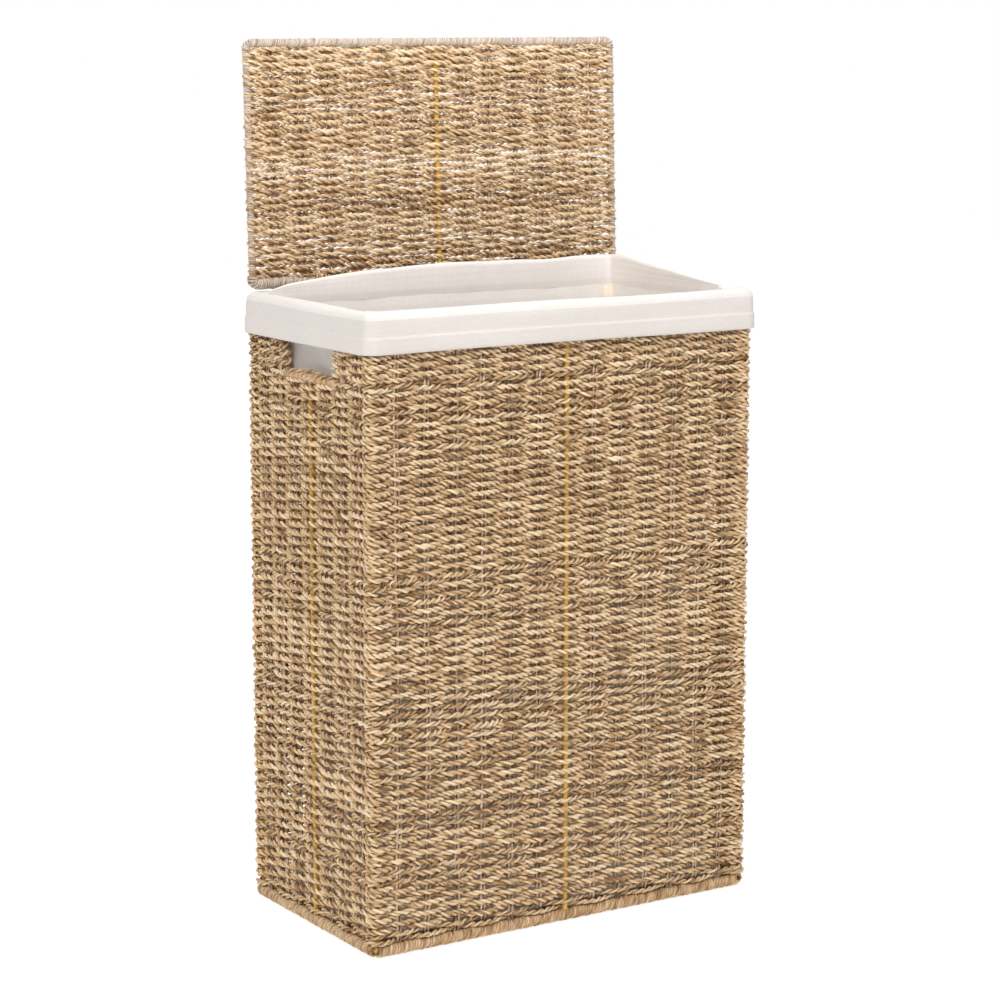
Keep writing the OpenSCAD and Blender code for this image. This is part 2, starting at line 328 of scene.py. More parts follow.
def tube(points, up, outline, radius, step, lay=0.0, closed=False, tone=0.0, vary=0.1):
    """One rope: its points, faces, own coordinates and tone. up is never along the path."""
    points, along, length = resample(np.asarray(points, float), step, closed)
    if closed:
        tangent = np.roll(points, -1, 0) - np.roll(points, 1, 0)
    else:
        tangent = np.gradient(points, axis=0)
    tangent /= np.linalg.norm(tangent, axis=1)[:, None]
    side = np.cross(tangent, np.broadcast_to(up, points.shape))
    side /= np.linalg.norm(side, axis=1)[:, None]
    rise = np.cross(side, tangent)
    turns = round(length / lay) if closed and lay else (length / lay if lay else 0.0)
    turns *= -1 if rng.random() < LEFT_HAND else 1
    wobble = rng.uniform(0, math.tau, 3)
    slow = np.sin(along / 0.061 + wobble[0]) * 0.6 + np.sin(along / 0.023 + wobble[1]) * 0.4
    turn = along / length * turns * math.tau + wobble[2] + (0.0 if closed else 0.5) * slow
    size = radius * (1 + vary * slow)
    cos, sin = np.cos(turn)[:, None], np.sin(turn)[:, None]
    a, b = outline[:, 0][None], outline[:, 1][None]
    out = (a * cos - b * sin) * size[:, None]
    over = (a * sin + b * cos) * size[:, None]
    verts = points[:, None] + side[:, None] * out[..., None] + rise[:, None] * over[..., None]
    rings, sides = len(points), len(outline)
    ring = np.arange(rings if closed else rings - 1)
    after = (ring + 1) % rings
    j = np.arange(sides)
    k = (j + 1) % sides
    quads = np.stack(
        [
            ring[:, None] * sides + j,
            after[:, None] * sides + j,
            after[:, None] * sides + k,
            ring[:, None] * sides + k,
        ],
        -1,
    ).reshape(-1, 4)
    last_ring = list(range(rings * sides - 1, (rings - 1) * sides - 1, -1))
    caps = [] if closed else [list(range(sides)), last_ring]
    fibre = np.empty((rings, sides, 3))
    fibre[..., 0] = a * radius
    fibre[..., 1] = b * radius
    fibre[..., 2] = (along + rng.uniform(0, 9))[:, None]
    tones = np.empty((rings, sides))
    half = sides // 2
    for strand in (slice(0, half), slice(half, sides)):
        knots = np.arange(0, length + 2 * PATCH, PATCH)
        tones[:, strand] = (tone + np.interp(along, knots, rng.normal(0, 0.12, len(knots))))[:, None]
    if sides == len(TWO_STRANDS):
        # painted shade: the groove points between the two strands are made darker
        tones[:, half - 1 :: half] -= GROOVE_PAINTED_SHADE
    return verts.reshape(-1, 3), quads, caps, fibre.reshape(-1, 3), tones.reshape(-1)


def build(name, tubes, material, body, replaced=()):
    """Joins tubes into one piece that rides on a body."""
    verts = np.concatenate([t[0] for t in tubes])
    loops, sizes, base = [], [], 0
    for t in tubes:
        loops.append((t[1] + base).reshape(-1))
        sizes.append(np.full(len(t[1]), 4))
        for cap in t[2]:
            loops.append(np.array(cap) + base)
            sizes.append(np.array([len(cap)]))
        base += len(t[0])
    loops, sizes = np.concatenate(loops), np.concatenate(sizes)
    mesh = bpy.data.meshes.new(name)
    mesh.vertices.add(len(verts))
    mesh.vertices.foreach_set("co", verts.reshape(-1))
    mesh.loops.add(len(loops))
    mesh.loops.foreach_set("vertex_index", loops.astype(np.int32))
    mesh.polygons.add(len(sizes))
    mesh.polygons.foreach_set("loop_start", (np.cumsum(sizes) - sizes).astype(np.int32))
    mesh.polygons.foreach_set("use_smooth", np.ones(len(sizes), bool))
    mesh.update(calc_edges=True)
    mesh.validate()
    fibre = mesh.attributes.new("fibre", "FLOAT_VECTOR", "POINT")
    fibre.data.foreach_set("vector", np.concatenate([t[3] for t in tubes]).reshape(-1))
    tone = mesh.attributes.new("tone", "FLOAT", "POINT")
    tone.data.foreach_set("value", np.concatenate([t[4] for t in tubes]))
    mesh.materials.append(material)
    piece = bpy.data.objects.new(name, mesh)
    bpy.context.scene.collection.objects.link(piece)
    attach(piece, body)
    if replaced:
        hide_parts(*replaced)
    triangles = int((sizes - 2).sum())
    print(name, "tubes", len(tubes), "triangles", triangles)
    return piece


# %% [markdown]
# ## The way round the walls
# A course of rope runs round all four walls in front of one upright and behind the next. Its
# path is a distance round the walls' centreline, a depth in or out of it, and a height.

# %% the walls' centreline


def rounded_outline(half, radius, straight_step=1 * MM, corner_steps=12):
    """A rectangle with round corners, anticlockwise from the middle of the left side."""
    x, y = half
    points = [(-x, 0.0)]
    for cx, cy, start in ((-1, -1, 180), (1, -1, 270), (1, 1, 0), (-1, 1, 90)):
        for k in range(corner_steps + 1):
            angle = math.radians(start + 90 * k / corner_steps)
            points.append(
                (cx * (x - radius) + radius * math.cos(angle), cy * (y - radius) + radius * math.sin(angle))
            )
    points.append((-x, 0.0))
    points = np.array(points)
    lengths = np.concatenate([[0], np.cumsum(np.linalg.norm(np.diff(points, axis=0), axis=1))])
    fine = np.arange(0, lengths[-1], straight_step)
    return np.stack([np.interp(fine, lengths, points[:, k]) for k in (0, 1)], 1), lengths[-1]


TURN = 5 * MM  # the rope turns more tightly than the wire it hugs
outline, around = rounded_outline(half_mid, TURN)
outline_s = np.arange(len(outline)) * MM
heading = np.roll(outline, -1, 0) - np.roll(outline, 1, 0)
heading /= np.linalg.norm(heading, axis=1)[:, None]
outward = np.stack([heading[:, 1], -heading[:, 0]], 1)


def wall_points(s, depth, z):
    s = np.mod(s, around)
    out = [np.interp(s, outline_s, outward[:, k], period=around) for k in (0, 1)]
    at = [np.interp(s, outline_s, outline[:, k], period=around) for k in (0, 1)]
    return np.stack([at[0] + out[0] * depth, at[1] + out[1] * depth, z], 1)


def distance_of(x, y):
    return outline_s[np.argmin(np.hypot(outline[:, 0] - x, outline[:, 1] - y))]


front_x = [k * front_pitch for k in range(-FRONT_PAIRS, FRONT_PAIRS + 1)]
side_y = [k * side_pitch for k in range(-SIDE_PAIRS, SIDE_PAIRS + 1)]
uprights = [(x, s * half_mid[1]) for x in front_x for s in (-1, 1)]
uprights += [(s * half_mid[0], y) for y in side_y for s in (-1, 1)]
uprights += [(sx * -post_mid[0], sy * -post_mid[1]) for sx in (-1, 1) for sy in (-1, 1)]
upright_s = np.array(sorted(distance_of(x, y) for x, y in uprights))
print("uprights", len(upright_s), "round the walls", round(around, 3))


POST_OUT, POST_IN = 4.6 * MM, 3.4 * MM  # depth at a corner post, on outer and inner courses
PAST_POST = 7 * MM  # where a course has come back to its own side after the post
PAST_OUT, PAST_IN = 3.6 * MM, -1.8 * MM


def weave_depth(s, lines, amplitude, course, corners=()):
    """In front of one line and behind the next, but never behind a corner post."""
    depth = amplitude * np.cos(math.pi * (np.arange(len(lines)) + course))
    lines = np.array(lines, float)
    for k in range(len(lines) - 1, -1, -1):
        if corners and min(abs(lines[k] - c) for c in corners) < 2 * MM:
            outer = depth[k] > 0
            depth[k] = POST_OUT if outer else POST_IN
            if k + 1 < len(lines):
                lines = np.insert(lines, k + 1, lines[k] + PAST_POST)
                depth = np.insert(depth, k + 1, PAST_OUT if outer else PAST_IN)
    index = np.interp(s, lines, np.arange(len(lines)))
    before = np.clip(np.floor(index).astype(int), 0, len(lines) - 2)
    part = (1 - np.cos(math.pi * (index - before))) / 2
    return depth[before] + (depth[before + 1] - depth[before]) * part


post_s = [distance_of(sx * post_mid[0], sy * post_mid[1]) for sx in (-1, 1) for sy in (-1, 1)]
post_s += [around + p for p in post_s]


# %% [markdown]
# The courses are packed closer towards the rim, and they wander a little together, as a weaver's
# hand leaves them. Every rope has its own tone and its own twist.

# %% course heights
STRAND_R = 1.6 * MM
ROPE_LAY = 17 * MM
RING_STEP = 2.5 * MM
DEPTH = wall_t / 2 - (1 + LOBE_APART) * STRAND_R + 0.6 * MM
heights = [wall_low + 2.6 * MM]
while heights[-1] < wall_high - 3 * MM:
    heights.append(heights[-1] + (4.25 + 1.15 * math.exp(-heights[-1] / 0.14)) * MM)
heights = np.array(heights)
heights = wall_low + 2.6 * MM + (heights - heights[0]) * (wall_high - wall_low - 5 * MM) / (
    heights[-1] - heights[0]
)
waves = rng.uniform(0, math.tau, (6, 2))
pitches = np.diff(heights) / MM
print("courses", len(heights), "pitch in mm", round(pitches[0], 2), "to", round(pitches[-1], 2))


def wander(s, z):
    """How far a course sits above its even height."""
    total = np.zeros_like(s)
    for k, (p, q) in enumerate(waves):
        total += np.sin(s * math.tau * (k + 2) / around + p + 9 * z + q) / (k + 2)
    calm = np.clip((z - wall_low) / 0.06, 0.2, 1.0)  # the first courses sit on the foot
    return 1.7 * MM * total * calm


def rope_tone():
    return float(np.clip(rng.normal(0, 0.075), -0.16, 0.16))


def wall_course(index, z):
    s = np.arange(0, around - 0.5 * MM, MM)
    lines = np.concatenate([upright_s, [around + upright_s[0]]])
    s = s + upright_s[0]
    depth = weave_depth(s, lines, DEPTH, index, post_s)
    own = rng.uniform(0, math.tau)
    jitter = 0.3 * MM * np.sin(s / 0.041 + own) + 0.22 * MM * np.sin(s / 0.0137 + own)
    points = wall_points(s, depth, z + wander(s, z) + jitter)
    size = STRAND_R * rng.uniform(0.9, 1.1)
    return tube(
        points, (0, 0, 1), TWO_STRANDS, size, RING_STEP, ROPE_LAY * rng.uniform(0.75, 1.3), True, rope_tone()
    )


# %% [markdown]
# Beside a hand hole the courses can't go round. One rope is laid to and fro instead, turned back
# round the last upright at each end.

# %% to and fro


def to_and_fro(s0, s1, zs, lines, amplitude, first, corners=(), pull=0.0):
    """A path as distance, depth and height, turned back at s0 and s1, where it pulls together."""
    s_all, d_all, z_all = [], [], []
    for k, z in enumerate(zs):
        s = np.arange(s0, s1, MM)
        if k % 2:
            s = s[::-1]
        depth = weave_depth(s, lines, amplitude, first + k, corners)
        s_all.append(s)
        d_all.append(depth)
        ahead, behind = abs(s - s[-1]), abs(s - s[0])
        z_all.append(z + pull * (np.exp(-ahead / (14 * MM)) - np.exp(-behind / (14 * MM))))
        if k + 1 < len(zs):
            turn = np.linspace(0, math.pi, 7)[1:-1]
            edge, way = (s1, 1) if k % 2 == 0 else (s0, -1)
            s_all.append(edge + way * abs(depth[-1]) * np.sin(turn))
            d_all.append(depth[-1] * np.cos(turn))
            z_all.append(z + pull + (zs[k + 1] - z - 2 * pull) * turn / math.pi)
    return np.concatenate(s_all), np.concatenate(d_all), np.concatenate(z_all)


hole_half = hole_width / 2
hole_edge = hole_half + DEPTH + 1.8 * STRAND_R
below = [k for k, z in enumerate(heights) if z < hole_z + 1 * MM]
beside = [k for k, z in enumerate(heights) if z >= hole_z + 1 * MM]
left_s, right_s = 0.0, distance_of(half_mid[0], 0.0)
print("courses below the hand holes", len(below), "and beside them", len(beside))


def beside_holes(start, end):
    lines = [start] + [s for s in upright_s if start + 6 * MM < s < end - 6 * MM] + [end]
    s, depth, z = to_and_fro(start, end, heights[beside], np.array(lines), DEPTH, beside[0], post_s)
    points = wall_points(s, depth, z + wander(s, z))
    return tube(points, (0, 0, 1), TWO_STRANDS, STRAND_R, RING_STEP, ROPE_LAY, False, rope_tone())


# %% [markdown]
# The walls are built in bands of courses, because a piece that is too heavy is thinned on export.
# The first band stands for all the woven wall nodes of the CAD model.

# %% weave the walls
BANDS = 6
courses = [wall_course(k, heights[k]) for k in below]
share = math.ceil(len(courses) / BANDS)
wall_nodes = (
    "front_weave",
    "back_weave",
    "left_weave",
    "right_weave",
    "left_upper_weave",
    "right_upper_weave",
)
for band in range(BANDS):
    build(
        f"rope_courses_{band + 1}",
        courses[band * share : (band + 1) * share],
        rope_finish,
        "basket",
        wall_nodes if band == 0 else (),
    )
upper_group = [
    beside_holes(left_s + hole_edge, right_s - hole_edge),
    beside_holes(right_s + hole_edge, around - hole_edge),
]
build("rope_beside_holes", upper_group, rope_finish, "basket")

# %% [markdown]
# ## Stakes
# Each stake is two thin spun cords side by side. They show in the gaps between the courses.

# %% stakes
STAKE_STEP = 9 * MM
STAKE_LAY = 30 * MM


def stake_cord(points, up):
    return tube(points, up, ONE_STRAND, STAKE_R, STAKE_STEP, STAKE_LAY, False, rope_tone(), 0.05)


def stake(x, y, sideways, z0, z1):
    cords = []
    phase = rng.uniform(0, math.tau, 2)
    for c in (-0.5, 0.5):
        z = np.linspace(z0, z1, max(2, int((z1 - z0) / STAKE_STEP)))
        wobble = rng.normal(0, 0.22 * MM, (len(z), 2))
        drift = 1.1 * MM * (np.sin(z / 0.07 + phase[0]) + 0.5 * np.sin(z / 0.023 + phase[1]))
        wobble += np.outer(drift, sideways)
        sway = wobble + c * STAKE_APART * np.array(sideways)
        cords.append(stake_cord(np.stack([x + sway[:, 0], y + sway[:, 1], z], 1), (0.3, 1, 0)))
    return cords


for face, sign in (("front", -1), ("back", 1)):
    group = []
    for x in front_x:
        if abs(x) > MM:
            group += stake(x, sign * half_mid[1], (1, 0), wall_low, wall_high)
    build(f"{face}_stake_cords", group, stake_finish, "basket", (f"{face}_stakes",))
for face, sign in (("left", -1), ("right", 1)):
    group = []
    for y in side_y:
        if abs(y) > MM:
            top = wall_high if abs(y) > sill_half else hole_z - wall_t
            group += stake(sign * half_mid[0], y, (0, 1), wall_low, top)
    build(f"{face}_stake_cords", group, stake_finish, "basket", (f"{face}_stakes",))

# %% [markdown]
# ## Flat panels: the lid and the base
# Each is woven to and fro across its own stakes. A panel has a corner, two directions in its
# plane and one out of it.

# %% panel weaving


def panel_rope(origin, along, up, edges, zs, lines, amplitude, first, size, lay, pull=0.0, loose=0.0):
    normal = np.cross(along, up)
    s, depth, z = to_and_fro(edges[0], edges[1], zs, np.array(lines), amplitude, first, (), pull)
    row = np.round(z / (4 * MM))
    ripple = 0.35 * MM * (np.sin(s / 0.04 + z * 40) + np.sin(s / 0.017 - z * 90))
    ripple += loose * np.sin(s / 0.021 + 2.4 * row) * np.sin(s / 0.073 + 1.3 * row)
    points = origin + np.outer(s, along) + np.outer(z + ripple, up) + np.outer(depth, normal)
    return tube(points, up, TWO_STRANDS, size, RING_STEP, lay, False, rope_tone())


lid_along = np.array([1.0, 0.0, 0.0])
lid_up = np.array([0.0, math.sin(lean), math.cos(lean)])
lid_depth = 2 * half_mid[1]
lid_low, lid_high = 5.6 * MM, lid_depth - 5.6 * MM
LID_ROW = 3.95 * MM
LID_DEPTH = 2.7 * MM  # how far the lid's rope swings out of its plane
LID_STRAND_R = 1.5 * MM
LID_LAY = 18 * MM
LID_PULL = 0.8 * MM  # rows draw together at each turn
LID_LOOSE = 0.9 * MM  # and part a little between, so that light comes through
lid_rows = np.linspace(lid_low, lid_high, round((lid_high - lid_low) / LID_ROW) + 1)
lid_lines = [-half_mid[0]] + front_x + [half_mid[0]]
lid_group = []
LID_BATCH = 5
for first in range(0, len(lid_rows), LID_BATCH):
    rows = lid_rows[first : first + LID_BATCH]
    lid_group.append(
        panel_rope(
            hinge_at,
            lid_along,
            lid_up,
            (-half_mid[0], half_mid[0]),
            rows,
            lid_lines,
            LID_DEPTH,
            first,
            LID_STRAND_R * rng.uniform(0.92, 1.1),
            LID_LAY * rng.uniform(0.8, 1.3),
            LID_PULL,
            LID_LOOSE,
        )
    )
build("lid_rope", lid_group, rope_finish, "lid", ("lid_weave",))

BASE_ROW = 4.6 * MM
BASE_DEPTH = 2.9 * MM
base_z = foot_r
base_edge = half_mid[1] - foot_r - 2 * MM
base_rows = np.linspace(-base_edge, base_edge, round(2 * base_edge / BASE_ROW) + 1)
inner_x = half_mid[0] - foot_r - 4 * MM
base_rope = panel_rope(
    np.array([0, 0, base_z]),
    np.array([1.0, 0, 0]),
    np.array([0, 1.0, 0]),
    (-inner_x, inner_x),
    base_rows,
    [-inner_x] + front_x + [inner_x],
    BASE_DEPTH,
    0,
    STRAND_R,
    ROPE_LAY,
)
build("base_rope", [base_rope], rope_finish, "basket", ("base_weave",))


def flat_stake(x, origin, up, start, end):
    cords = []
    for c in (-0.5, 0.5):
        run = np.linspace(start, end, max(2, int((end - start) / STAKE_STEP)))
        points = origin + np.outer(run, up)
        points[:, 0] += x + c * STAKE_APART + rng.normal(0, 0.2 * MM, len(run))
        cords.append(stake_cord(points, (1, 0.2, 0.1)))
    return cords


group = []
for x in front_x:
    if abs(x) > MM:
        group += flat_stake(x, hinge_at, lid_up, 7 * MM, lid_depth - 7 * MM)
build("lid_stake_cords", group, stake_finish, "lid", ("lid_stakes",))
group = []
for x in front_x:
    if abs(x) > MM:
        group += flat_stake(x, np.array([0, 0, base_z]), np.array([0, 1.0, 0]), -base_edge, base_edge)
build("base_stake_cords", group, stake_finish, "basket", ("base_stakes",))

# %% [markdown]
# Hand-twisted seagrass is never clean. Short loose ends of blade stand out of the ropes here and
# there.

# %% loose ends
STRAWS = 90
straws = []
for _ in range(STRAWS):
    s0, z0 = rng.uniform(0, around), rng.uniform(wall_low + 8 * MM, wall_high - 70 * MM)
    along = np.linspace(0, 1, 7)
    reach, climb = rng.uniform(6, 15) * MM * rng.choice([-1, 1]), rng.uniform(-4, 4) * MM
    lift = rng.uniform(1.0, 3.2) * MM
    s = s0 + reach * along
    depth = DEPTH + 1.2 * MM + lift * along**1.5
    points = wall_points(s, depth, z0 + climb * along)
    straws.append(tube(points, (0.1, 0.2, 1), ONE_STRAND, 0.32 * MM, 2 * MM, 0, False, 0.15))
build("loose_ends", straws, binding_finish, "basket")

# %% [markdown]
# ## Bound edges
# Thin seagrass is wound round each edge wire, turn against turn. A turn follows the wire's path
# as a helix.

# %% winding
WRAP_R = 1.7 * MM
WRAP_STEP = 2.6 * MM
WRAP_LAY = 20 * MM


def wind(path, axis_up, radius, pitch, tone, starts=1, cord=WRAP_R):
    """One or two cords wound side by side round an open path."""
    points, along, length = resample(np.asarray(path, float), 2 * MM, False)
    tangent = np.gradient(points, axis=0)
    tangent /= np.linalg.norm(tangent, axis=1)[:, None]
    side = np.cross(tangent, np.broadcast_to(axis_up, points.shape))
    side /= np.linalg.norm(side, axis=1)[:, None]
    rise = np.cross(side, tangent)
    turns = max(1, round(length / (pitch * starts)))
    fine = np.linspace(0, 1, turns * 10 + 1)
    place = fine * length
    jitter = 0.25 * np.sin(fine * turns * 1.7) + rng.normal(0, 0.05, len(fine))

    def at(values):
        return np.stack([np.interp(place, along, values[:, k]) for k in range(3)], 1)

    centre, out, over, ahead = at(points), at(side), at(rise), at(tangent)
    helices = []
    for start in range(starts):
        angle = fine * turns * math.tau + start * math.tau / starts
        r = (radius - cord) * (1 + 0.05 * np.sin(angle * 0.37) + rng.normal(0, 0.012, len(fine)))
        helix = centre + out * (np.cos(angle) * r)[:, None] + over * (np.sin(angle) * r)[:, None]
        helices.append(helix + ahead * (jitter * 0.8 * MM)[:, None])
    up = mean_direction(ahead)
    return [tube(h, up, ONE_STRAND, cord, WRAP_STEP, WRAP_LAY, False, tone, 0.16) for h in helices]


def mean_direction(ahead):
    mean = ahead.mean(0)
    return mean / np.linalg.norm(mean) if np.linalg.norm(mean) > 0.2 else np.array([0.0, 0.0, 1.0])


def ring_wind(z, radius, pitch, cord=WRAP_R, bare=0.0):
    """A closed ring is wound side by side, because a turn's own axis must follow the side."""
    x, y = half_mid
    corners = [distance_of(-x, -y), distance_of(x, -y), distance_of(x, y), distance_of(-x, y)]
    corners.append(corners[0] + around)
    cords = []
    for a, b in zip(corners, corners[1:]):
        run = np.arange(a, b + 2 * MM - bare, 3 * MM)
        points = wall_points(run, np.zeros(len(run)), np.full(len(run), z))
        cords += wind(points, (0, 0, 1), radius, pitch, rope_tone(), 2, cord)
    return cords


def build_binding(name, cords, finish, body, node):
    build(name, cords, finish, body, (node,))


foot_cords = ring_wind(foot_r, foot_r, 2.7 * MM, 1.5 * MM, 3 * MM)
build_binding("foot_winding", foot_cords, foot_finish, "basket", "foot_binding")
rim_cords = ring_wind(rim_z, rim_r, 3.4 * MM)
build_binding("rim_winding", rim_cords, binding_finish, "basket", "rim_binding")
sill_r = 4.6 * MM
for face, sign in (("left", -1), ("right", 1)):
    run = np.linspace(-sill_half, sill_half, 40)
    x, z = sign * half_mid[0], sill_z + wall_t / 2 - sill_r
    points = np.column_stack([np.full(len(run), x), run, np.full(len(run), z)])
    cords = wind(points, (0, 0, 1), sill_r, 2.4 * MM, 0.05, 1, 1.3 * MM)
    build_binding(f"{face}_sill_winding", cords, foot_finish, "basket", f"{face}_sill_binding")

# %% [markdown]
# The lid's edge is wound in four lengths: the far edge and the hinge edge with their corners, and
# the two sides between them.

# %% lid edge
LID_TURN = 5 * MM


def lid_edge(far):
    """One long edge of the lid with its two corners."""
    inner = half_mid[0] - LID_TURN
    run = []
    for k in range(9):
        angle = math.pi / 2 * k / 8
        run.append((-inner - LID_TURN * math.cos(angle), -LID_TURN * (1 - math.sin(angle))))
    run += [(x, 0.0) for x in np.linspace(-inner, inner, 120)[1:-1]]
    run += [(-x, b) for x, b in run[8::-1]]
    run = [(run[0][0], -LID_TURN - 2 * MM)] + run + [(run[-1][0], -LID_TURN - 2 * MM)]
    run = np.array(run)
    b = lid_depth + run[:, 1] if far else -run[:, 1]
    return hinge_at + np.outer(run[:, 0], lid_along) + np.outer(b, lid_up)


lid_r = 4.5 * MM
normal = np.cross(lid_along, lid_up)
cords = wind(lid_edge(True), normal, lid_r, 2.3 * MM, 0.1, 2, 1.25 * MM)
cords += wind(lid_edge(False), normal, foot_r, 2.3 * MM, 0.05, 2, 1.25 * MM)
for sign in (-1, 1):
    side = np.linspace(2 * MM, lid_depth - 2 * MM, 60)
    points = hinge_at + np.outer(side, lid_up) + sign * half_mid[0] * lid_along
    cords += wind(points, normal, 4.0 * MM, 2.2 * MM, 0.0, 1, 1.2 * MM)
build_binding("lid_winding", cords, binding_finish, "lid", "lid_binding")

# %% [markdown]
# ## Liner
# The liner is one bag of cloth: up the inside of the walls, over the bound rim, and down outside as a cuff
# with a turned hem. It is lofted from rings that follow the walls, then creased with slow waves, because
# cloth that hangs from a rim is held too well for a simulation to change.

# %% liner rings
LINER_T = 0.7 * MM
FOLD_STEPS = 12


CORNER_POINTS = 11
LONG_STEPS, SHORT_STEPS = 94, 52
SIDES = (  # corner's signs, its first angle, the way along the side after it, steps on that side
    ((-1, -1), 180, (1, 0), LONG_STEPS),
    ((1, -1), 270, (0, 1), SHORT_STEPS),
    ((1, 1), 0, (-1, 0), LONG_STEPS),
    ((-1, 1), 90, (0, -1), SHORT_STEPS),
)


def liner_ring(offset, radius):
    """Points round the walls at an offset from their outer face, with their outward normals."""
    x, y = half_out + offset
    places, normals = [], []
    for (cx, cy), first_angle, way, steps in SIDES:
        centre = np.array([cx * (x - radius), cy * (y - radius)])
        for k in range(CORNER_POINTS):
            angle = math.radians(first_angle + 90 * k / (CORNER_POINTS - 1))
            normals.append((math.cos(angle), math.sin(angle)))
            places.append(centre + radius * np.array(normals[-1]))
        run = 2 * (x - radius) if way[0] else 2 * (y - radius)
        for k in range(1, steps):
            places.append(places[-1] + np.array(way) * run / steps)
            normals.append(normals[-1])
    return np.array(places), np.array(normals)


corner_start = np.cumsum([0] + [CORNER_POINTS + side[3] - 1 for side in SIDES[:3]])


def slow_waves(seed, s, z, s_scale=0.05, z_scale=0.12, count=8):
    """A smooth random swell, about 1 high, round the liner and down it."""
    pick = np.random.default_rng(seed)
    total = np.zeros(np.broadcast(s, z).shape)
    for _ in range(count):
        a, b = pick.normal(0, 1 / s_scale), pick.normal(0, 1 / z_scale)
        total = total + np.sin(a * s + b * z + pick.uniform(0, math.tau))
    return total / math.sqrt(count)


BAG_GAP = 3.6 * MM  # between the walls' inside and the bag
HANG_IN = 12 * MM  # how much further in the bag hangs, once it is well below the rim
CUFF_SHORT = 4 * MM  # the cuff ends this far above the lower edge of the CAD hem
CUFF_CORNER = 11 * MM  # radius of the cuff's corners
BAG_CORNER = 8 * MM  # and of the bag's, where it meets the rim
bag_off = -wall_t - BAG_GAP
floor_z = high("base_weave")[2] + 1.2 * MM
cuff_low = low("cuff_hem")[2] + CUFF_SHORT
hem_top = high("cuff_hem")[2] + 3 * MM
fold_r = rim_r + 0.9 * MM
out = -wall_t / 2 + fold_r
profile = []  # offset, height, corner radius, part
for z in np.linspace(floor_z, rim_z - 6 * MM, 52):
    down = min(1.0, (rim_z - z) / 0.09)
    slack = min(1.0, (z - floor_z) / 0.05)
    hang = min(max((rim_z - 0.062 - z) / 0.06, 0.0), 1.0)
    hang_in = HANG_IN * hang * hang * (3 - 2 * hang) * slack
    corner = (6 + 30 * down * slack) * MM
    profile.append((bag_off + 0.4 * MM - 2.2 * MM * down - hang_in, z, corner, "bag"))
for k in range(FOLD_STEPS + 1):
    angle = math.pi * (1 - k / FOLD_STEPS)
    at = -wall_t / 2 + fold_r * math.cos(angle)
    corner = BAG_CORNER + (CUFF_CORNER - BAG_CORNER) * k / FOLD_STEPS
    profile.append((at, rim_z + fold_r * math.sin(angle), corner, "fold"))
for z in np.linspace(rim_z - 3 * MM, hem_top + 1.0 * MM, 6):
    profile.append((out + 0.3 * MM, z, CUFF_CORNER, "cuff"))
for drop, swell in ((0.3, 0.5), (-0.3, 1.1), (-1.2, 1.4)):
    profile.append((out + swell * MM, hem_top + drop * MM, CUFF_CORNER + swell * MM, "hem"))
for z in np.linspace(hem_top - 3 * MM, cuff_low + 1.0 * MM, 5):
    profile.append((out + 1.4 * MM, z, CUFF_CORNER + 1.4 * MM, "hem"))
profile.append((out + 0.9 * MM, cuff_low + 0.1 * MM, CUFF_CORNER + 1 * MM, "hem"))
profile.append((out + 0.2 * MM, cuff_low + 0.6 * MM, CUFF_CORNER, "hem"))
profile.append((out + 0.1 * MM, cuff_low + 6 * MM, CUFF_CORNER, "hem"))


def shaped_ring(offset, z, radius, part):
    places, normals = liner_ring(offset, radius)
    steps = np.linalg.norm(np.diff(np.vstack([places, places[:1]]), axis=0), axis=1)
    s = np.concatenate([[0], np.cumsum(steps)[:-1]])
    rise = 0 * s
    if part == "bag":
        depth = min(1.0, (rim_z - z) / 0.08)
        swell = slow_waves(3, s, z, 0.028, 0.1) + 0.6 * slow_waves(4, s, z, 0.012, 0.05)
        shift = -(0.5 + 2.0 * depth) * MM * (0.5 + 0.6 * np.clip(swell, -1.5, 1.5))
    elif part == "fold":
        shift = 0.35 * MM * slow_waves(5, s, 0 * s, 0.03)
        rise = 0.5 * MM * slow_waves(6, s, 0 * s, 0.04)
    else:
        down = (rim_z - z) / (rim_z - cuff_low)
        swell = slow_waves(8, s, z, 0.035, 0.08)
        shift = (0.3 + 0.7 * down) * MM * (0.5 + 0.6 * swell)
        rise = 0.9 * MM * down * slow_waves(9, s, 0 * s, 0.05)
    at = places + normals * np.broadcast_to(shift, s.shape)[:, None]
    return np.column_stack([at, z + rise]), normals, s


rings, ring_normals, ring_s, ring_v = [], [], [], [0.0]
for row, (offset, z, radius, part) in enumerate(profile):
    ring, normals, s = shaped_ring(offset, z, radius, part)
    rings.append(ring)
    ring_normals.append(normals)
    ring_s.append(s)
    if row:
        ring_v.append(ring_v[-1] + math.hypot(offset - profile[row - 1][0], z - profile[row - 1][1]))
per_ring = len(rings[0])
print("liner rings", len(rings), "points each", per_ring)
